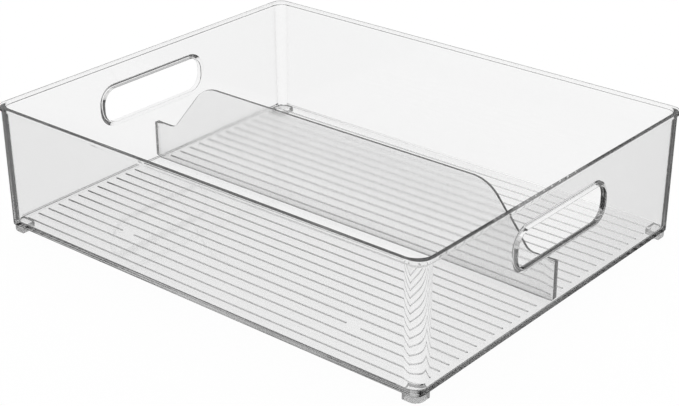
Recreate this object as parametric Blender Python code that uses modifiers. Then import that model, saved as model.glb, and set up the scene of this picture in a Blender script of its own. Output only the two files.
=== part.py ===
"""A clear fridge bin with a lift-out divider and four corner feet.

Units are metres and +Z is up. +X runs along the long side, the handles are in
the two short walls, and -Y is the front. The origin lies on the surface that
the bin stands on, below its middle.
"""
import math

import bmesh
import bpy
from mathutils import Matrix, Vector

# Overall sizes, over the rim and the feet
LENGTH = 0.380
WIDTH = 0.303
HEIGHT = 0.098

# Tray walls and floor
WALL = 0.0022
WALL_TOP = 0.0013
FLOOR = 0.0026
CORNER_RADIUS = 0.0075
CORNER_INNER_RADIUS = 0.0105
WALL_LEAN = 0.0008
BASE_EDGE_RADIUS = 0.0008
FLOOR_FILLET = 0.0022

# Rim: a flat-topped lip that overhangs the wall, with a cove below it
RIM_OVERHANG = 0.0018
RIM_HEIGHT = 0.0030
RIM_EDGE_RADIUS = 0.0008
RIM_INNER_RADIUS = 0.0006
COVE_HEIGHT = 0.0020
COVE_DEPTH = 0.0008

# Handle openings and the raised collar round the outside of each
HANDLE_WIDTH = 0.1030
HANDLE_HEIGHT = 0.0272
HANDLE_RADIUS = 0.0115
HANDLE_DROP = 0.0338
HANDLE_EDGE_RADIUS = 0.0004
COLLAR_WALL = 0.0026
COLLAR_PROUD = 0.0020
COLLAR_EDGE_RADIUS = 0.0018
COLLAR_INNER_EDGE_RADIUS = 0.0006

# Floor ribs
RIB_WIDTH = 0.0014
RIB_HEIGHT = 0.0008
RIB_EDGE = 0.0003
FRONT_RIB_FIRST = 0.0123
FRONT_RIB_PITCH = 0.0096
BACK_RIB_FIRST = 0.0086
BACK_RIB_PITCH = 0.0105
RIB_END_MARGIN = 0.0060
RIB_SIDE_MARGIN = 0.0050
BARE_SPOT_WIDTH = 0.0115
BARE_SPOT_OFFSET = 0.1045
BARE_SPOT_RIB = 4

# Divider
DIVIDER_THICKNESS = 0.0022
DIVIDER_DROP = 0.0176
DIVIDER_CLEARANCE = 0.0004
SHOULDER_HEIGHT = 0.0310
SHOULDER_LENGTH = 0.0203
SHOULDER_RADIUS = 0.0085
CREST_RADIUS = 0.0275
SLOPE_RUN = 0.0341
END_THICKNESS = 0.0046
END_LENGTH = 0.0120
END_RADIUS = 0.0010

# Feet
FOOT_HEIGHT = 0.0050
FOOT_SIZE = 0.0125
FOOT_INSET = 0.0008
FOOT_EDGE = 0.0006

# Gap between pieces that touch, overlap of bodies that are joined
SEAT_GAP = 0.0003
JOIN_DEPTH = 0.0004

# Facets of round stretches
CORNER_STEPS = 8
FILLET_STEPS = 3
CURVE_STEPS = 8

# Heights and reaches that follow from the sizes above
BASE_Z = FOOT_HEIGHT
FLOOR_Z = BASE_Z + FLOOR
RIM_UNDER_Z = HEIGHT - RIM_HEIGHT
HANDLE_Z = HEIGHT - HANDLE_DROP


def wall_inset(z):
    """How far the wall's outer face lies inside the rim's reach at height z."""
    return RIM_OVERHANG + WALL_LEAN * (HEIGHT - z) / (HEIGHT - BASE_Z)


def wall_thickness(z):
    """Thickness of the wall at height z; it thins towards the rim."""
    return WALL_TOP + (WALL - WALL_TOP) * (HEIGHT - z) / (HEIGHT - BASE_Z)


def inner_half_length(z):
    """Distance from the middle to an end wall's inner face at height z."""
    return LENGTH / 2 - wall_inset(z) - wall_thickness(z)


def inner_half_width(z):
    """Distance from the middle to a long wall's inner face at height z."""
    return WIDTH / 2 - wall_inset(z) - wall_thickness(z)


def rounded_outline(corners, steps):
    """Points of a closed 2D outline whose corners (x, y, radius) are rounded."""
    points = []
    count = len(corners)
    for index, (x, y, radius) in enumerate(corners):
        corner = Vector((x, y))
        before = Vector(corners[index - 1][:2]) - corner
        after = Vector(corners[(index + 1) % count][:2]) - corner
        turn = before.angle(after)
        reach = radius / math.tan(turn / 2)
        middle = (before.normalized() + after.normalized()).normalized()
        centre = corner + middle * (radius / math.sin(turn / 2))
        start = corner + before.normalized() * reach - centre
        sweep = start.angle_signed(corner + after.normalized() * reach - centre)
        for step in range(steps + 1):
            angle = -sweep * step / steps
            cos, sin = math.cos(angle), math.sin(angle)
            spoke = Vector((start.x * cos - start.y * sin, start.x * sin + start.y * cos))
            points.append(centre + spoke)
    return points


def rounded_rectangle(length, width, radius, steps):
    """Points of a rectangle about the origin with rounded corners."""
    x, y = length / 2, width / 2
    corners = [(x, y, radius), (-x, y, radius), (-x, -y, radius), (x, -y, radius)]
    return rounded_outline(corners, steps)


def quarter_arc(centre, start, end, steps):
    """Points from centre+start to centre+end on an ellipse with those half axes."""
    points = []
    for step in range(steps + 1):
        angle = math.pi / 2 * step / steps
        points.append(Vector(centre) + Vector(start) * math.cos(angle) + Vector(end) * math.sin(angle))
    return points


def loft(rings):
    """A mesh through rings of equally many points, capped at both ends."""
    bm = bmesh.new()
    loops = [[bm.verts.new(point) for point in ring] for ring in rings]
    bm.faces.new(loops[0])
    bm.faces.new(loops[-1])
    for lower, upper in zip(loops, loops[1:]):
        for index in range(len(lower)):
            bm.faces.new((lower[index - 1], lower[index], upper[index], upper[index - 1]))
    bmesh.ops.recalc_face_normals(bm, faces=bm.faces)
    return bm


def prism(outline, low, high, place):
    """A mesh of a 2D outline drawn out from low to high; place makes 3D points."""
    rings = [[place(point, level) for point in outline] for level in (low, high)]
    return loft(rings)


def add_object(name, bm, collection):
    """Make an object of a mesh and put it in a collection."""
    mesh = bpy.data.meshes.new(name)
    bm.to_mesh(mesh)
    bm.free()
    mesh.shade_smooth()
    mesh.set_sharp_from_angle(angle=math.radians(35))
    obj = bpy.data.objects.new(name, mesh)
    collection.objects.link(obj)
    return obj


def add_cutter(name, bm, collection):
    """Make an object that only shapes another one."""
    obj = add_object(name, bm, collection)
    obj.hide_render = True
    obj.display_type = "WIRE"
    return obj


def add_boolean(obj, other, operation):
    """Cut another object out of this one, or join it on."""
    modifier = obj.modifiers.new(f"{operation.lower()}_{other.name}", "BOOLEAN")
    modifier.operation = operation
    modifier.object = other


def add_bevel(obj, width, segments):
    """Round the sharp edges of an object."""
    modifier = obj.modifiers.new("rounded_edges", "BEVEL")
    modifier.width = width
    modifier.segments = segments
    modifier.limit_method = "ANGLE"
    modifier.angle_limit = math.radians(50)


def clear_plastic(name, colour, roughness):
    """A clear moulded plastic."""
    material = bpy.data.materials.new(name)
    material.use_nodes = True
    shader = material.node_tree.nodes["Principled BSDF"]
    shader.inputs["Base Color"].default_value = (*colour, 1)
    shader.inputs["Roughness"].default_value = roughness
    shader.inputs["Metallic"].default_value = 0
    shader.inputs["IOR"].default_value = 1.5
    shader.inputs["Transmission Weight"].default_value = 0.9
    return material


def outer_section():
    """The outside of the tray's section as (inset, z) points, from under the base to the rim's top."""
    base_inset = wall_inset(BASE_Z + BASE_EDGE_RADIUS)
    base_centre = (base_inset + BASE_EDGE_RADIUS, BASE_Z + BASE_EDGE_RADIUS)
    section = quarter_arc(base_centre, (0, -BASE_EDGE_RADIUS), (-BASE_EDGE_RADIUS, 0), FILLET_STEPS)

    cove_inset = wall_inset(RIM_UNDER_Z - COVE_HEIGHT)
    cove_centre = (cove_inset - COVE_DEPTH, RIM_UNDER_Z - COVE_HEIGHT)
    section += quarter_arc(cove_centre, (COVE_DEPTH, 0), (0, COVE_HEIGHT), FILLET_STEPS)

    edge = RIM_EDGE_RADIUS
    section += quarter_arc((edge, RIM_UNDER_Z + edge), (0, -edge), (-edge, 0), FILLET_STEPS)
    section += quarter_arc((edge, HEIGHT - edge), (-edge, 0), (0, edge), FILLET_STEPS)
    return section


def inner_section():
    """The inside of the tray's section as (inset, z) points, from the rim's top to the floor."""
    rim_inner = wall_inset(HEIGHT) + WALL_TOP
    inner_centre = (rim_inner - RIM_INNER_RADIUS, HEIGHT - RIM_INNER_RADIUS)
    section = quarter_arc(inner_centre, (0, RIM_INNER_RADIUS), (RIM_INNER_RADIUS, 0), FILLET_STEPS)

    fillet_z = FLOOR_Z + FLOOR_FILLET
    fillet_inset = wall_inset(fillet_z) + wall_thickness(fillet_z)
    fillet_centre = (fillet_inset + FLOOR_FILLET, FLOOR_Z + FLOOR_FILLET)
    section += quarter_arc(fillet_centre, (-FLOOR_FILLET, 0), (0, -FLOOR_FILLET), FILLET_STEPS)
    return section


def tray_shell():
    """The open box: its wall section carried round a rounded rectangle."""
    outside = [(inset, z, CORNER_RADIUS + RIM_OVERHANG - inset) for inset, z in outer_section()]
    reach = CORNER_INNER_RADIUS + RIM_OVERHANG + WALL
    inside = [(inset, z, reach - inset) for inset, z in inner_section()]
    rings = []
    for inset, z, radius in outside + inside:
        outline = rounded_rectangle(LENGTH - 2 * inset, WIDTH - 2 * inset, radius, CORNER_STEPS)
        rings.append([Vector((point.x, point.y, z)) for point in outline])
    return loft(rings)


def handle_ring(side, x, grow):
    """A handle's outline, grown on all sides, as a ring across an end wall."""
    outline = rounded_rectangle(
        HANDLE_WIDTH + 2 * grow, HANDLE_HEIGHT + 2 * grow, HANDLE_RADIUS + grow, CURVE_STEPS
    )
    return [Vector((side * x, point.x, HANDLE_Z + point.y)) for point in outline]


def handle_loft(side, section):
    """A plug through an end wall, from (x, grow) points that run outwards."""
    return loft([handle_ring(side, x, grow) for x, grow in section])


def collar_x():
    """Where a collar's outer face lies."""
    return LENGTH / 2 - wall_inset(HANDLE_Z) + COLLAR_PROUD


def collar_inner_x():
    """Where a collar's inner face lies: above the inner foot of the wall, clear of the divider's way up."""
    return inner_half_length(FLOOR_Z)


def handle_collar(side):
    """The plug that becomes the raised collar once the opening is cut through it."""
    edge = COLLAR_INNER_EDGE_RADIUS
    back = quarter_arc((collar_inner_x() + edge, COLLAR_WALL - edge), (-edge, 0), (0, edge), FILLET_STEPS)
    edge = COLLAR_EDGE_RADIUS
    front = quarter_arc((collar_x() - edge, COLLAR_WALL - edge), (0, edge), (edge, 0), FILLET_STEPS)
    return handle_loft(side, back + front)


def handle_hole(side):
    """The plug that opens an end wall, flared at both faces to round the opening's edges."""
    edge = HANDLE_EDGE_RADIUS
    inner = collar_inner_x()
    inside = quarter_arc((inner + edge, edge), (-edge, 0), (0, -edge), FILLET_STEPS)
    outside = quarter_arc((collar_x() - edge, edge), (0, -edge), (edge, 0), FILLET_STEPS)
    section = [(inner - WALL, edge)] + inside + outside + [(collar_x() + WALL, edge)]
    return handle_loft(side, section)


def rib_rows(first, pitch):
    """The distance of each rib from the bin's mid-plane, out to a long wall."""
    limit = inner_half_width(FLOOR_Z) - FLOOR_FILLET - RIB_SIDE_MARGIN
    rows = [first]
    while rows[-1] + pitch <= limit:
        rows.append(rows[-1] + pitch)
    return rows


def rib_spans(side, place_from_wall):
    """The X spans of a rib; one rib at the front leaves two bare spots."""
    end = inner_half_length(FLOOR_Z) - RIB_END_MARGIN
    if side > 0 or place_from_wall != BARE_SPOT_RIB:
        return [(-end, end)]
    near = BARE_SPOT_OFFSET - BARE_SPOT_WIDTH / 2
    far = BARE_SPOT_OFFSET + BARE_SPOT_WIDTH / 2
    return [(-end, -far), (-near, near), (far, end)]


def floor_ribs():
    """All the low ribs on the floor, as separate bars in one mesh."""
    bm = bmesh.new()
    low, high = FLOOR_Z - JOIN_DEPTH, FLOOR_Z + RIB_HEIGHT
    for side, first, pitch in ((-1, FRONT_RIB_FIRST, FRONT_RIB_PITCH), (1, BACK_RIB_FIRST, BACK_RIB_PITCH)):
        rows = rib_rows(first, pitch)
        for index, row in enumerate(rows):
            for start, end in rib_spans(side, len(rows) - index):
                place = Matrix.Translation(((start + end) / 2, side * row, (low + high) / 2))
                size = Matrix.Diagonal((end - start, RIB_WIDTH, high - low, 1))
                bmesh.ops.create_cube(bm, size=1, matrix=place @ size)
    top = [edge for edge in bm.edges if all(vert.co.z > FLOOR_Z for vert in edge.verts)]
    bmesh.ops.bevel(bm, geom=top, offset=RIB_EDGE, segments=1, affect="EDGES")
    return bm


def divider_end_x():
    """How far the divider reaches from the middle: just clear of the end walls."""
    return inner_half_length(FLOOR_Z) - DIVIDER_CLEARANCE


def divider_outline():
    """The divider seen from the front, as (x, z) about the middle of its foot."""
    end = divider_end_x() - JOIN_DEPTH
    crest = HEIGHT - DIVIDER_DROP - FLOOR_Z - SEAT_GAP
    shoulder = SHOULDER_HEIGHT - SEAT_GAP
    slope_foot = divider_end_x() - SHOULDER_LENGTH
    slope_top = slope_foot - SLOPE_RUN
    right = [
        (end, 0, FLOOR_FILLET + DIVIDER_CLEARANCE),
        (end, shoulder, END_RADIUS),
        (slope_foot, shoulder, SHOULDER_RADIUS),
        (slope_top, crest, CREST_RADIUS),
    ]
    left = [(-x, z, radius) for x, z, radius in reversed(right)]
    return rounded_outline(right + left, CURVE_STEPS)


def divider_end(side):
    """One end of the divider, where the panel widens towards the end wall."""
    end = divider_end_x()
    thick, thin = END_THICKNESS / 2, DIVIDER_THICKNESS / 2 - JOIN_DEPTH
    outline = [(end, thick), (end, -thick), (end - END_LENGTH, -thin), (end - END_LENGTH, thin)]

    def place(point, level):
        return Vector((side * point[0], point[1], level))

    return prism(outline, FLOOR_FILLET, SHOULDER_HEIGHT - SEAT_GAP - JOIN_DEPTH, place)


def foot_outline():
    """A quarter-round foot seen from above, about the bin's corner side of its own corner."""
    outer = min(CORNER_RADIUS - FOOT_INSET, FOOT_SIZE - 2 * FOOT_EDGE)
    inner = FOOT_EDGE
    corners = [
        (0, 0, outer),
        (-FOOT_SIZE, 0, inner),
        (-FOOT_SIZE, -FOOT_SIZE, inner),
        (0, -FOOT_SIZE, inner),
    ]
    return rounded_outline(corners, CURVE_STEPS)


def build_tray(parts, cutters):
    """The moulded tray: shell, handle collars and floor ribs in one body."""
    tray = add_object("bin_tray", tray_shell(), parts)
    for side, end in ((-1, "left"), (1, "right")):
        add_boolean(tray, add_cutter(f"handle_collar_{end}", handle_collar(side), cutters), "UNION")
        add_boolean(tray, add_cutter(f"handle_hole_{end}", handle_hole(side), cutters), "DIFFERENCE")
    add_boolean(tray, add_cutter("floor_ribs", floor_ribs(), cutters), "UNION")
    tray.data.materials.append(clear_plastic("clear_tray_plastic", (0.90, 0.91, 0.91), 0.04))
    return tray


def build_divider(parts, cutters):
    """The lift-out divider panel, which stands on the floor between the end walls."""

    def place(point, level):
        return Vector((point.x, level, point.y))

    panel = prism(divider_outline(), -DIVIDER_THICKNESS / 2, DIVIDER_THICKNESS / 2, place)
    divider = add_object("divider_panel", panel, parts)
    divider.location = (0, 0, FLOOR_Z + SEAT_GAP)
    for side, end in ((-1, "left"), (1, "right")):
        upright = add_cutter(f"divider_end_{end}", divider_end(side), cutters)
        upright.location = divider.location
        add_boolean(divider, upright, "UNION")
    divider.data.materials.append(clear_plastic("clear_divider_plastic", (0.84, 0.85, 0.86), 0.05))
    return divider


def build_feet(parts):
    """Four quarter-round feet under the corners of the tray."""
    corner_inset = wall_inset(BASE_Z + BASE_EDGE_RADIUS) + FOOT_INSET
    plastic = clear_plastic("clear_foot_plastic", (0.95, 0.95, 0.95), 0.15)
    for side_y, depth in ((-1, "front"), (1, "back")):
        for side_x, end in ((-1, "left"), (1, "right")):

            def place(point, level):
                return Vector((side_x * point.x, side_y * point.y, level))

            bm = prism(foot_outline(), 0, FOOT_HEIGHT - SEAT_GAP, place)
            foot = add_object(f"foot_{depth}_{end}", bm, parts)
            foot.location.x = side_x * (LENGTH / 2 - corner_inset)
            foot.location.y = side_y * (WIDTH / 2 - corner_inset)
            foot.data.materials.append(plastic)
            add_bevel(foot, FOOT_EDGE, FILLET_STEPS)


def main():
    for obj in list(bpy.data.objects):
        bpy.data.objects.remove(obj)
    parts = bpy.data.collections.new("fridge_bin")
    cutters = bpy.data.collections.new("fridge_bin_cutters")
    for collection in (parts, cutters):
        bpy.context.scene.collection.children.link(collection)
    build_tray(parts, cutters)
    build_divider(parts, cutters)
    build_feet(parts)


main()
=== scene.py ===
"""Looks of the clear fridge bin: smooth clear mouldings, a white studio and the photograph's view.

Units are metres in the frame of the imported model: +X along the long side, -Y the front, +Z up.
"""
import math

import bmesh
import bpy
from mathutils import Matrix, Vector


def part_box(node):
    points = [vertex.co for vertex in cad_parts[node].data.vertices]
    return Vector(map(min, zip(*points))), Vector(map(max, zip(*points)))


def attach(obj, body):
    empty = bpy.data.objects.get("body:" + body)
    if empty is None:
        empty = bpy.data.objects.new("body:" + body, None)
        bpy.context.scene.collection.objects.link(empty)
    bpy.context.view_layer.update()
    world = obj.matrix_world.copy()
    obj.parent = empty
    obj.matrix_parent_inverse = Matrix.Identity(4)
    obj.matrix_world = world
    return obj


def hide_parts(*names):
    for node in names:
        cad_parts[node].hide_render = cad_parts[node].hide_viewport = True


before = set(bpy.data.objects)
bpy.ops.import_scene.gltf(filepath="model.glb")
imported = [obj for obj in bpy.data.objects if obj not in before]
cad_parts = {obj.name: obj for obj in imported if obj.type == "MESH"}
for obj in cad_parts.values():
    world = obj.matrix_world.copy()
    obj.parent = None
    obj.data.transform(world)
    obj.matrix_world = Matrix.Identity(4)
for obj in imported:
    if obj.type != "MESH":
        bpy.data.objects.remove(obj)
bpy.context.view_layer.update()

# Reach of the tray, from the frame
TRAY_LOW, TRAY_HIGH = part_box("bin_tray")
LENGTH = TRAY_HIGH.x - TRAY_LOW.x
WIDTH = TRAY_HIGH.y - TRAY_LOW.y
TOP_Z = TRAY_HIGH.z
BASE_Z = TRAY_LOW.z

# Tray walls and floor
WALL = 0.0022
WALL_TOP = 0.0013
FLOOR = 0.0026
CORNER_RADIUS = 0.0075
CORNER_INNER_RADIUS = 0.0105
WALL_LEAN = 0.0008
BASE_EDGE_RADIUS = 0.0008
FLOOR_FILLET = 0.0022
FLOOR_Z = BASE_Z + FLOOR

# Rim
RIM_OVERHANG = 0.0018
RIM_HEIGHT = 0.0030
RIM_EDGE_RADIUS = 0.0008
RIM_INNER_RADIUS = 0.0006
COVE_HEIGHT = 0.0020
COVE_DEPTH = 0.0008

# Handle openings and their collars
HANDLE_WIDTH = 0.1030
HANDLE_HEIGHT = 0.0272
HANDLE_RADIUS = 0.0115
HANDLE_DROP = 0.0338
HANDLE_Z = TOP_Z - HANDLE_DROP
HANDLE_EDGE_RADIUS = 0.0004
COLLAR_FOOT = 0.0034
COLLAR_PROUD = 0.0020
COLLAR_RIDGE = 0.0005

# Floor ribs
RIB_WIDTH = 0.0014
RIB_HEIGHT = 0.0008
FRONT_RIB_FIRST = 0.0123
FRONT_RIB_PITCH = 0.0096
FRONT_RIB_COUNT = 14
BACK_RIB_FIRST = 0.0086
BACK_RIB_PITCH = 0.0105
BACK_RIB_COUNT = 13
RIB_END_MARGIN = 0.0060
BARE_SPOT_WIDTH = 0.0115
BARE_SPOT_OFFSET = 0.1045
BARE_SPOT_RIB = 10

# Divider
DIVIDER_THICKNESS = 0.0022
END_THICKNESS = 0.0046
SHOULDER_HEIGHT = 0.0307
SHOULDER_LENGTH = 0.0203
SHOULDER_RADIUS = 0.0085
CREST_RADIUS = 0.0275
SLOPE_RUN = 0.0341
END_LENGTH = 0.0120
END_RADIUS = 0.0010
FOOT_CORNER_RADIUS = 0.0026
END_EDGE_RADIUS = 0.0003
DIVIDER_EDGE_RADIUS = 0.0004

# Feet
FOOT_CORNER = 0.0067
FOOT_EDGE = 0.0007
FOOT_FILLET = 0.0006

# Overlap of bodies that are joined
JOIN_DEPTH = 0.0004

# Facets of round stretches
CORNER_STEPS = 24
CURVE_STEPS = 16
FILLET_STEPS = 8
RIB_STEPS = 10
SHARP_ANGLE = math.radians(32)

# Faint unevenness of the moulded plastic
CLOUD_SCALE = 14
CLOUD_DETAIL = 2
CLOUD_DEPTH = 0.010
SHEEN_SCALE = 60
SHEEN_DETAIL = 3
SHEEN_DEPTH = 0.3

# The plastics: tint, refractive index, roughness and absorption
TRAY_PLASTIC = (0.99, 1.5, 0.0, 3)
DIVIDER_PLASTIC = (0.985, 1.5, 0.09, 4)
FOOT_PLASTIC = (0.99, 1.4, 0.04, 0)
ABSORBED_SHADE = 0.02

# How the divider greys towards its foot, a painted shade where it stands on the floor, as (height above
# the foot, share of its colour)
PAINTED_FOOT_SHADE = (
    (0, 0.40), (0.0008, 0.55), (0.0014, 0.80), (0.0030, 0.86),
    (0.0054, 0.905), (0.0080, 0.945), (0.0130, 0.98), (0.0200, 1.0),
)

# The floor's reach, the share of it that is lit and keeps the shadow, and the fill on dull surfaces
FLOOR_REACH = 6.0
LIT_FLOOR = 0.03
WORLD_FILL = 0.55

# The lamp, a square softbox that points at the origin
LAMP_SIZE = 2.4
LAMP_ENERGY = 22
LAMP_PLACE = Vector((-0.5, 0.6, 1.5))

# The mirrored floor as (reflections from which it holds, strength), with another part beyond an X
DEEPEST_COUNT = 20
HALF_COUNT = 0.5
MIRRORED_FLOOR = ((0, 1.0), (1, 0.15), (3, 0.12), (9, 0.05))
DARK_FLOOR = ((0, 1.0), (1, 0.3), (3, 0.0), (9, 0.0))
DARK_FLOOR_X = 0.165

# The mirrored surround as (degrees up, strength): dark horizon, pale wall, grey gap, white ceiling
MIRRORED_SKY = ((0, 0.05), (6, 0.05), (9, 0.5), (24, 0.75), (31, 0.8), (34, 0.5), (43, 0.5), (50, 1.0))

# Its bright side behind the bin: the heading, the half width about it and the strengths by elevation
BRIGHT_HEADING = math.radians(92)
BRIGHT_HALF_WIDTH = math.radians(33)
BRIGHT_SOFT_EDGE = math.radians(6)
BRIGHT_SKY = ((0, 0.1), (17, 0.1), (20, 0.5), (26, 0.6), (30, 0.95), (33, 1.0), (46, 1.0), (47.5, 0.0))

# Light runs far inside clear edges
MOST_BOUNCES = 96

# The photograph's view
CAMERA_LENS = 85.92
CAMERA_AIM = (0.0077, -0.0072, 0.0282)
CAMERA_DISTANCE = 1.157
CAMERA_AZIMUTH = 40.09
CAMERA_ELEVATION = 25.61
CAMERA_ROLL = 0.25


# Outlines and lofts


def wall_inset(z):
    """How far the wall's outer face lies inside the rim's reach at height z."""
    return RIM_OVERHANG + WALL_LEAN * (TOP_Z - z) / (TOP_Z - BASE_Z)


def wall_thickness(z):
    """Thickness of the wall at height z; it thins towards the rim."""
    return WALL_TOP + (WALL - WALL_TOP) * (TOP_Z - z) / (TOP_Z - BASE_Z)


def rounded_outline(corners, steps):
    """Points of a closed 2D outline whose corners (x, y, radius) are rounded."""
    points = []
    count = len(corners)
    for index, (x, y, radius) in enumerate(corners):
        corner = Vector((x, y))
        before = Vector(corners[index - 1][:2]) - corner
        after = Vector(corners[(index + 1) % count][:2]) - corner
        turn = before.angle(after)
        reach = radius / math.tan(turn / 2)
        middle = (before.normalized() + after.normalized()).normalized()
        centre = corner + middle * (radius / math.sin(turn / 2))
        start = corner + before.normalized() * reach - centre
        sweep = start.angle_signed(corner + after.normalized() * reach - centre)
        for step in range(steps + 1):
            angle = -sweep * step / steps
            cos, sin = math.cos(angle), math.sin(angle)
            spoke = Vector((start.x * cos - start.y * sin, start.x * sin + start.y * cos))
            points.append(centre + spoke)
    return points


def rounded_rectangle(length, width, radius, steps):
    """Points of a rectangle about the origin with rounded corners."""
    x, y = length / 2, width / 2
    corners = [(x, y, radius), (-x, y, radius), (-x, -y, radius), (x, -y, radius)]
    return rounded_outline(corners, steps)


def quarter_arc(centre, start, end, steps):
    """Points from centre+start to centre+end on an ellipse with those half axes."""
    points = []
    for step in range(steps + 1):
        angle = math.pi / 2 * step / steps
        points.append(Vector(centre) + Vector(start) * math.cos(angle) + Vector(end) * math.sin(angle))
    return points


def add_loft(bm, rings):
    """Add a body through rings of equally many points, capped at both ends."""
    loops = [[bm.verts.new(point) for point in ring] for ring in rings]
    bm.faces.new(loops[0])
    bm.faces.new(loops[-1])
    for lower, upper in zip(loops, loops[1:]):
        for index in range(len(lower)):
            bm.faces.new((lower[index - 1], lower[index], upper[index], upper[index - 1]))


# Objects


def add_object(name, bm):
    """Make an object of a mesh whose faces point out."""
    bmesh.ops.recalc_face_normals(bm, faces=bm.faces)
    mesh = bpy.data.meshes.new(name)
    bm.to_mesh(mesh)
    bm.free()
    obj = bpy.data.objects.new(name, mesh)
    bpy.context.scene.collection.objects.link(obj)
    return obj


def loft_object(name, rings):
    """Make an object of one loft."""
    bm = bmesh.new()
    add_loft(bm, rings)
    return add_object(name, bm)


def apply_modifiers(obj):
    """Replace an object's mesh by what its modifiers make of it."""
    depsgraph = bpy.context.evaluated_depsgraph_get()
    mesh = bpy.data.meshes.new_from_object(obj.evaluated_get(depsgraph))
    obj.modifiers.clear()
    obj.data = mesh


def combine(obj, tool, operation):
    """Join another object on, or cut it out, and remove it."""
    modifier = obj.modifiers.new(operation, "BOOLEAN")
    modifier.operation = operation
    modifier.object = tool
    apply_modifiers(obj)
    bpy.data.objects.remove(tool)


def round_edges(obj, radius, steps):
    """Round the sharp edges of an object."""
    modifier = obj.modifiers.new("rounded_edges", "BEVEL")
    modifier.width = radius
    modifier.segments = steps
    modifier.limit_method = "ANGLE"
    modifier.angle_limit = SHARP_ANGLE
    apply_modifiers(obj)


def smooth(obj):
    """Shade round faces smooth while flat faces stay flat."""
    obj.data.shade_smooth()
    obj.data.set_sharp_from_angle(angle=SHARP_ANGLE)
    modifier = obj.modifiers.new("flat_faces_stay_flat", "WEIGHTED_NORMAL")
    modifier.keep_sharp = True


# Tray


def outer_section():
    """The outside of the tray's section as (inset, z) points, from under the base to the rim's top."""
    base_inset = wall_inset(BASE_Z + BASE_EDGE_RADIUS)
    base_centre = (base_inset + BASE_EDGE_RADIUS, BASE_Z + BASE_EDGE_RADIUS)
    section = quarter_arc(base_centre, (0, -BASE_EDGE_RADIUS), (-BASE_EDGE_RADIUS, 0), FILLET_STEPS)

    cove_z = TOP_Z - RIM_HEIGHT - COVE_HEIGHT
    cove_inset = wall_inset(cove_z)
    cove_centre = (cove_inset - COVE_DEPTH, cove_z)
    section += quarter_arc(cove_centre, (COVE_DEPTH, 0), (0, COVE_HEIGHT), FILLET_STEPS)

    edge = RIM_EDGE_RADIUS
    section += quarter_arc((edge, TOP_Z - RIM_HEIGHT + edge), (0, -edge), (-edge, 0), FILLET_STEPS)
    section += quarter_arc((edge, TOP_Z - edge), (-edge, 0), (0, edge), FILLET_STEPS)
    return section


def inner_section():
    """The inside of the tray's section as (inset, z) points, from the rim's top to the floor."""
    rim_inner = wall_inset(TOP_Z) + WALL_TOP
    inner_centre = (rim_inner - RIM_INNER_RADIUS, TOP_Z - RIM_INNER_RADIUS)
    section = quarter_arc(inner_centre, (0, RIM_INNER_RADIUS), (RIM_INNER_RADIUS, 0), FILLET_STEPS)

    fillet_z = FLOOR_Z + FLOOR_FILLET
    fillet_inset = wall_inset(fillet_z) + wall_thickness(fillet_z)
    fillet_centre = (fillet_inset + FLOOR_FILLET, FLOOR_Z + FLOOR_FILLET)
    section += quarter_arc(fillet_centre, (-FLOOR_FILLET, 0), (0, -FLOOR_FILLET), FILLET_STEPS)
    return section


def tray_shell():
    """The open box: its wall section carried round a rounded rectangle."""
    outside = [(inset, z, CORNER_RADIUS + RIM_OVERHANG - inset) for inset, z in outer_section()]
    reach = CORNER_INNER_RADIUS + RIM_OVERHANG + WALL
    inside = [(inset, z, reach - inset) for inset, z in inner_section()]
    rings = []
    for inset, z, radius in outside + inside:
        outline = rounded_rectangle(LENGTH - 2 * inset, WIDTH - 2 * inset, radius, CORNER_STEPS)
        rings.append([Vector((point.x, point.y, z)) for point in outline])
    return loft_object("tray_visual", rings)


def handle_loft(name, side, section):
    """A plug through an end wall, from (x, grow) points that run outwards."""
    rings = []
    for x, grow in section:
        outline = rounded_rectangle(
            HANDLE_WIDTH + 2 * grow, HANDLE_HEIGHT + 2 * grow, HANDLE_RADIUS + grow, CURVE_STEPS
        )
        rings.append([Vector((side * x, point.x, HANDLE_Z + point.y)) for point in outline])
    return loft_object(name, rings)


def collar_faces():
    """Where a collar's inner and outer faces lie; the inner one is above the wall's inner foot."""
    inner = LENGTH / 2 - wall_inset(FLOOR_Z) - wall_thickness(FLOOR_Z)
    return inner, LENGTH / 2 - wall_inset(HANDLE_Z) + COLLAR_PROUD


def handle_collar(side):
    """The plug that becomes the sloped collar once the opening is cut through it."""
    inner, outer = collar_faces()
    wall_outer = outer - COLLAR_PROUD
    wall_inner = wall_outer - wall_thickness(HANDLE_Z)
    section = [
        (inner, COLLAR_RIDGE),
        (wall_inner, COLLAR_FOOT),
        (wall_outer, COLLAR_FOOT),
        (outer, COLLAR_RIDGE),
    ]
    return handle_loft("collar_plug", side, section)


def handle_hole(side):
    """The plug that opens an end wall, flared at both faces to round the opening's edges."""
    inner, outer = collar_faces()
    edge = HANDLE_EDGE_RADIUS
    inside = quarter_arc((inner + edge, edge), (-edge, 0), (0, -edge), FILLET_STEPS)
    outside = quarter_arc((outer - edge, edge), (0, -edge), (edge, 0), FILLET_STEPS)
    section = [(inner - WALL, edge)] + inside + outside + [(outer + WALL, edge)]
    return handle_loft("hole_plug", side, section)


def rib_rings(start, end, y):
    """A half-round rib along X with rounded ends, as rings across it."""
    half = RIB_WIDTH / 2
    stations = []
    for step in range(1, FILLET_STEPS + 1):
        angle = math.pi / 2 * step / FILLET_STEPS
        stations.append((half * (1 - math.cos(angle)), math.sin(angle)))
    places = [(start + along, scale) for along, scale in stations]
    places += [(end - along, scale) for along, scale in reversed(stations)]
    rings = []
    for x, scale in places:
        ring = [Vector((x, y - half * scale, FLOOR_Z - JOIN_DEPTH))]
        for step in range(RIB_STEPS + 1):
            angle = math.pi * (1 - step / RIB_STEPS)
            across = half * scale * math.cos(angle)
            ring.append(Vector((x, y + across, FLOOR_Z + RIB_HEIGHT * scale * math.sin(angle))))
        ring.append(Vector((x, y + half * scale, FLOOR_Z - JOIN_DEPTH)))
        rings.append(ring)
    return rings


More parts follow.
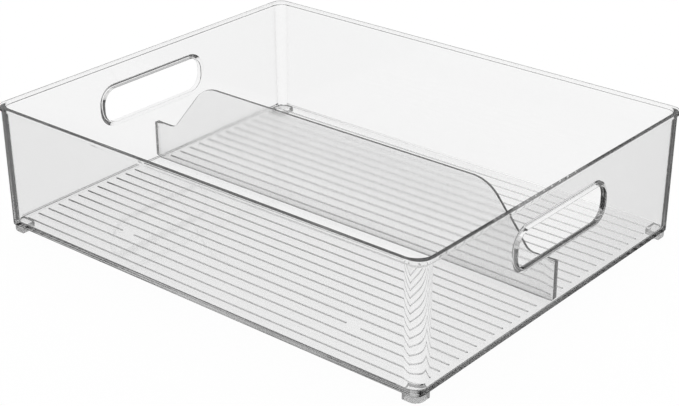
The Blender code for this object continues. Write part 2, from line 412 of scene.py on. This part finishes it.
def floor_ribs():
    """All the low ribs on the floor; one rib at the front leaves two bare spots."""
    bm = bmesh.new()
    end = LENGTH / 2 - wall_inset(FLOOR_Z) - WALL - RIB_END_MARGIN
    near = BARE_SPOT_OFFSET - BARE_SPOT_WIDTH / 2
    far = BARE_SPOT_OFFSET + BARE_SPOT_WIDTH / 2
    for row in range(FRONT_RIB_COUNT):
        spans = [(-end, end)]
        if row == BARE_SPOT_RIB:
            spans = [(-end, -far), (-near, near), (far, end)]
        for start, stop in spans:
            add_loft(bm, rib_rings(start, stop, -FRONT_RIB_FIRST - row * FRONT_RIB_PITCH))
    for row in range(BACK_RIB_COUNT):
        add_loft(bm, rib_rings(-end, end, BACK_RIB_FIRST + row * BACK_RIB_PITCH))
    return add_object("rib_bars", bm)


def build_tray():
    """The moulded tray: shell, handle collars and openings, and floor ribs in one body."""
    tray = tray_shell()
    for side in (-1, 1):
        combine(tray, handle_collar(side), "UNION")
        combine(tray, handle_hole(side), "DIFFERENCE")
    combine(tray, floor_ribs(), "UNION")
    smooth(tray)
    return tray


# Divider


def divider_prism(name, outline, thickness):
    """A body of an (x, z) outline across the divider's mid-plane."""
    rings = []
    for y in (-thickness / 2, thickness / 2):
        rings.append([Vector((point.x, y, point.y)) for point in outline])
    return loft_object(name, rings)


def build_divider():
    """The lift-out panel with low shoulders and thicker upright ends."""
    low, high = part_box("divider_panel")
    end = high.x - JOIN_DEPTH
    shoulder = low.z + SHOULDER_HEIGHT
    slope_foot = high.x - SHOULDER_LENGTH
    right = [
        (end, low.z, FOOT_CORNER_RADIUS),
        (end, shoulder, END_RADIUS),
        (slope_foot, shoulder, SHOULDER_RADIUS),
        (slope_foot - SLOPE_RUN, high.z, CREST_RADIUS),
    ]
    left = [(-x, z, radius) for x, z, radius in reversed(right)]
    panel = divider_prism("divider_visual", rounded_outline(right + left, CURVE_STEPS), DIVIDER_THICKNESS)
    round_edges(panel, DIVIDER_EDGE_RADIUS, FILLET_STEPS // 2)
    thick, thin = END_THICKNESS / 2, DIVIDER_THICKNESS / 2 - JOIN_DEPTH
    for side in (-1, 1):
        x_far, x_near = side * high.x, side * (high.x - END_LENGTH)
        plan = [(x_far, thick), (x_far, -thick), (x_near, -thin), (x_near, thin)]
        levels = (low.z + FLOOR_FILLET, shoulder - JOIN_DEPTH)
        upright = loft_object("upright", [[Vector((x, y, z)) for x, y in plan] for z in levels])
        round_edges(upright, END_EDGE_RADIUS, FILLET_STEPS // 2)
        combine(panel, upright, "UNION")
    smooth(panel)
    return panel


# Feet


def build_foot(node):
    """A foot with a round outer corner and lower edge, in the place of its plain solid."""
    low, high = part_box(node)
    middle = (low + high) / 2
    half = (high - low) / 2
    out_x, out_y = math.copysign(1, middle.x), math.copysign(1, middle.y)
    rings = []
    lower_edge = (FOOT_FILLET, low.z + FOOT_FILLET)
    section = quarter_arc(lower_edge, (0, -FOOT_FILLET), (-FOOT_FILLET, 0), FILLET_STEPS)
    for inset, z in section + [(0, high.z)]:
        reach_x, reach_y = half.x - inset, half.y - inset
        outline = rounded_outline([
            (reach_x, reach_y, FOOT_CORNER - inset),
            (-reach_x, reach_y, FOOT_EDGE - inset),
            (-reach_x, -reach_y, FOOT_EDGE - inset),
            (reach_x, -reach_y, FOOT_EDGE - inset),
        ], CURVE_STEPS)
        ring = [(middle.x + out_x * point.x, middle.y + out_y * point.y, z) for point in outline]
        rings.append([Vector(place) for place in ring])
    foot = loft_object(node.replace("foot", "pad"), rings)
    smooth(foot)
    return foot


# Materials


def grey(shade):
    """An opaque neutral colour."""
    return (shade, shade, shade, 1)


def noise(nodes, links, scale, detail):
    """A smooth noise that stays with the piece."""
    place = nodes.new("ShaderNodeTexCoord")
    cloud = nodes.new("ShaderNodeTexNoise")
    cloud.inputs["Scale"].default_value = scale
    cloud.inputs["Detail"].default_value = detail
    links.new(place.outputs["Object"], cloud.inputs["Vector"])
    return cloud.outputs["Fac"]


def clear_plastic(name, shade, refraction, roughness, absorption):
    """Clear plastic, faintly uneven, that greys where light runs far inside it."""
    material = bpy.data.materials.new(name)
    material.use_nodes = True
    nodes, links = material.node_tree.nodes, material.node_tree.links
    shader = nodes["Principled BSDF"]
    shader.inputs["IOR"].default_value = refraction
    shader.inputs["Transmission Weight"].default_value = 1

    tint = nodes.new("ShaderNodeMix")
    tint.name = "tint"
    tint.data_type = "RGBA"
    tint.inputs["A"].default_value = grey(shade * (1 - CLOUD_DEPTH))
    tint.inputs["B"].default_value = grey(shade)
    links.new(noise(nodes, links, CLOUD_SCALE, CLOUD_DETAIL), tint.inputs["Factor"])
    links.new(tint.outputs["Result"], shader.inputs["Base Color"])

    if roughness:
        sheen = nodes.new("ShaderNodeMapRange")
        sheen.inputs["To Min"].default_value = roughness * (1 - SHEEN_DEPTH)
        sheen.inputs["To Max"].default_value = roughness * (1 + SHEEN_DEPTH)
        links.new(noise(nodes, links, SHEEN_SCALE, SHEEN_DETAIL), sheen.inputs["Value"])
        links.new(sheen.outputs["Result"], shader.inputs["Roughness"])
    else:
        shader.inputs["Roughness"].default_value = 0

    if absorption:
        volume = nodes.new("ShaderNodeVolumeAbsorption")
        volume.inputs["Color"].default_value = grey(ABSORBED_SHADE)
        volume.inputs["Density"].default_value = absorption
        links.new(volume.outputs["Volume"], nodes["Material Output"].inputs["Volume"])
    return material


def paint_shade_at_foot(material, foot_z):
    """Grey a plastic towards the foot of its piece, as a painted shade where it meets the floor."""
    nodes, links = material.node_tree.nodes, material.node_tree.links
    place = nodes.new("ShaderNodeTexCoord")
    split = nodes.new("ShaderNodeSeparateXYZ")
    links.new(place.outputs["Object"], split.inputs[0])
    reach = PAINTED_FOOT_SHADE[-1][0]
    rise = nodes.new("ShaderNodeMapRange")
    rise.inputs["From Min"].default_value = foot_z
    rise.inputs["From Max"].default_value = foot_z + reach
    links.new(split.outputs["Z"], rise.inputs["Value"])
    shade = strength_ramp(nodes, [(height / reach, share) for height, share in PAINTED_FOOT_SHADE], "LINEAR")
    links.new(rise.outputs["Result"], shade.inputs["Fac"])
    both = nodes.new("ShaderNodeMix")
    both.data_type = "RGBA"
    both.blend_type = "MULTIPLY"
    both.inputs["Factor"].default_value = 1
    links.new(nodes["tint"].outputs["Result"], both.inputs["A"])
    links.new(shade.outputs["Color"], both.inputs["B"])
    links.new(both.outputs["Result"], nodes["Principled BSDF"].inputs["Base Color"])


def dress(piece, node, body, material):
    """Put a piece in the place of a CAD node, with its material, slot and body."""
    piece.data.materials.clear()
    piece.data.materials.append(material)
    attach(piece, body)
    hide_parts(node)


def build_bin():
    """All the bin's pieces."""
    tray_plastic = clear_plastic("clear_tray", *TRAY_PLASTIC)
    dress(build_tray(), "bin_tray", "tray", tray_plastic)
    divider_plastic = clear_plastic("clear_divider", *DIVIDER_PLASTIC)
    # Painted shade: the divider's colour darkens towards its foot where it meets the floor
    paint_shade_at_foot(divider_plastic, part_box("divider_panel")[0].z)
    dress(build_divider(), "divider_panel", "divider", divider_plastic)
    foot_plastic = clear_plastic("clear_foot", *FOOT_PLASTIC)
    for node in sorted(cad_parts):
        if node.startswith("foot_"):
            dress(build_foot(node), node, "tray", foot_plastic)


# Studio


def strength_ramp(nodes, stops, interpolation):
    """A ramp through (position, strength) stops."""
    ramp = nodes.new("ShaderNodeValToRGB")
    ramp.color_ramp.interpolation = interpolation
    elements = ramp.color_ramp.elements
    while len(elements) < len(stops):
        elements.new(1)
    for element, (position, strength) in zip(elements, stops):
        element.position = position
        element.color = grey(strength)
    return ramp


def reckon(nodes, links, operation, first, second):
    """The result of a sum on a socket and a socket or number."""
    node = nodes.new("ShaderNodeMath")
    node.operation = operation
    links.new(first, node.inputs[0])
    if isinstance(second, (int, float)):
        node.inputs[1].default_value = second
    else:
        links.new(second, node.inputs[1])
    return node.outputs[0]


def build_floor():
    """A large floor that shows white, darkens with each reflection and keeps a share of the shadow."""
    bm = bmesh.new()
    bmesh.ops.create_grid(bm, x_segments=1, y_segments=1, size=FLOOR_REACH)
    floor = add_object("studio_floor", bm)
    material = bpy.data.materials.new("studio_floor")
    material.use_nodes = True
    nodes, links = material.node_tree.nodes, material.node_tree.links
    nodes.clear()
    output = nodes.new("ShaderNodeOutputMaterial")
    glow = nodes.new("ShaderNodeEmission")
    path = nodes.new("ShaderNodeLightPath")
    depth = reckon(nodes, links, "DIVIDE", path.outputs["Glossy Depth"], DEEPEST_COUNT)
    place = nodes.new("ShaderNodeTexCoord")
    split = nodes.new("ShaderNodeSeparateXYZ")
    links.new(place.outputs["Object"], split.inputs[0])
    parts = nodes.new("ShaderNodeMix")
    beyond = reckon(nodes, links, "GREATER_THAN", split.outputs["X"], DARK_FLOOR_X)
    links.new(beyond, parts.inputs["Factor"])
    for profile, socket in ((MIRRORED_FLOOR, "A"), (DARK_FLOOR, "B")):
        stops = [(max(count - HALF_COUNT, 0) / DEEPEST_COUNT, strength) for count, strength in profile]
        ramp = strength_ramp(nodes, stops, "CONSTANT")
        links.new(depth, ramp.inputs["Fac"])
        links.new(ramp.outputs["Color"], parts.inputs[socket])
    strength = reckon(nodes, links, "MULTIPLY", parts.outputs["Result"], 1 - LIT_FLOOR)
    links.new(strength, glow.inputs["Strength"])
    lit = strength_ramp(nodes, [(0, LIT_FLOOR), (stops[1][0], 0)], "CONSTANT")
    links.new(depth, lit.inputs["Fac"])
    paint = nodes.new("ShaderNodeBsdfDiffuse")
    links.new(lit.outputs["Color"], paint.inputs["Color"])
    both = nodes.new("ShaderNodeAddShader")
    links.new(glow.outputs[0], both.inputs[0])
    links.new(paint.outputs[0], both.inputs[1])
    links.new(both.outputs[0], output.inputs["Surface"])
    floor.data.materials.append(material)


def build_world():
    """A white surround that plastic mirrors with dark and bright stretches."""
    world = bpy.data.worlds.new("studio")
    bpy.context.scene.world = world
    world.use_nodes = True
    nodes, links = world.node_tree.nodes, world.node_tree.links
    background = nodes["Background"]
    place = nodes.new("ShaderNodeTexCoord")
    split = nodes.new("ShaderNodeSeparateXYZ")
    links.new(place.outputs["Generated"], split.inputs[0])
    heading = reckon(nodes, links, "ARCTAN2", split.outputs["Y"], split.outputs["X"])
    offset = reckon(nodes, links, "SUBTRACT", heading, BRIGHT_HEADING)
    offset = reckon(nodes, links, "ABSOLUTE", offset, 0)
    side = nodes.new("ShaderNodeMapRange")
    side.inputs["From Min"].default_value = BRIGHT_HALF_WIDTH + BRIGHT_SOFT_EDGE
    side.inputs["From Max"].default_value = BRIGHT_HALF_WIDTH
    links.new(offset, side.inputs["Value"])
    surround = nodes.new("ShaderNodeMix")
    links.new(side.outputs["Result"], surround.inputs["Factor"])
    for profile, socket in ((MIRRORED_SKY, "A"), (BRIGHT_SKY, "B")):
        stops = [(math.sin(math.radians(elevation)), strength) for elevation, strength in profile]
        sky = strength_ramp(nodes, stops, "LINEAR")
        links.new(split.outputs["Z"], sky.inputs["Fac"])
        links.new(sky.outputs["Color"], surround.inputs[socket])

    path = nodes.new("ShaderNodeLightPath")
    mirrored = reckon(nodes, links, "GREATER_THAN", path.outputs["Glossy Depth"], HALF_COUNT)
    mix = nodes.new("ShaderNodeMix")
    mix.inputs["A"].default_value = 1
    links.new(mirrored, mix.inputs["Factor"])
    links.new(surround.outputs["Result"], mix.inputs["B"])
    fill = nodes.new("ShaderNodeMix")
    fill.inputs["B"].default_value = WORLD_FILL
    links.new(path.outputs["Is Diffuse Ray"], fill.inputs["Factor"])
    links.new(mix.outputs["Result"], fill.inputs["A"])
    background.inputs["Color"].default_value = grey(1)
    links.new(fill.outputs["Result"], background.inputs["Strength"])
    cycles = bpy.context.scene.cycles
    cycles.max_bounces = MOST_BOUNCES
    cycles.glossy_bounces = MOST_BOUNCES
    cycles.transmission_bounces = MOST_BOUNCES


def build_lights():
    """One wide softbox overhead."""
    light = bpy.data.lights.new("softbox", "AREA")
    light.shape = "RECTANGLE"
    light.size = LAMP_SIZE
    light.size_y = LAMP_SIZE
    light.energy = LAMP_ENERGY
    lamp = bpy.data.objects.new("softbox", light)
    lamp.location = LAMP_PLACE
    lamp.visible_glossy = False
    lamp.visible_transmission = False
    lamp.rotation_euler = (-LAMP_PLACE).to_track_quat("-Z", "Y").to_euler()
    bpy.context.scene.collection.objects.link(lamp)


def build_camera():
    """The photograph's viewpoint."""
    azimuth, elevation = math.radians(CAMERA_AZIMUTH), math.radians(CAMERA_ELEVATION)
    back = Vector((
        math.sin(azimuth) * math.cos(elevation),
        -math.cos(azimuth) * math.cos(elevation),
        math.sin(elevation),
    ))
    data = bpy.data.cameras.new("photo_view")
    data.lens = CAMERA_LENS
    camera = bpy.data.objects.new("photo_view", data)
    camera.location = Vector(CAMERA_AIM) + back * CAMERA_DISTANCE
    roll = Matrix.Rotation(-math.radians(CAMERA_ROLL), 4, "Z")
    camera.rotation_euler = ((-back).to_track_quat("-Z", "Y").to_matrix().to_4x4() @ roll).to_euler()
    bpy.context.scene.collection.objects.link(camera)
    bpy.context.scene.camera = camera


bpy.context.scene.view_settings.view_transform = "Standard"
build_bin()
build_floor()
build_world()
build_lights()
build_camera()
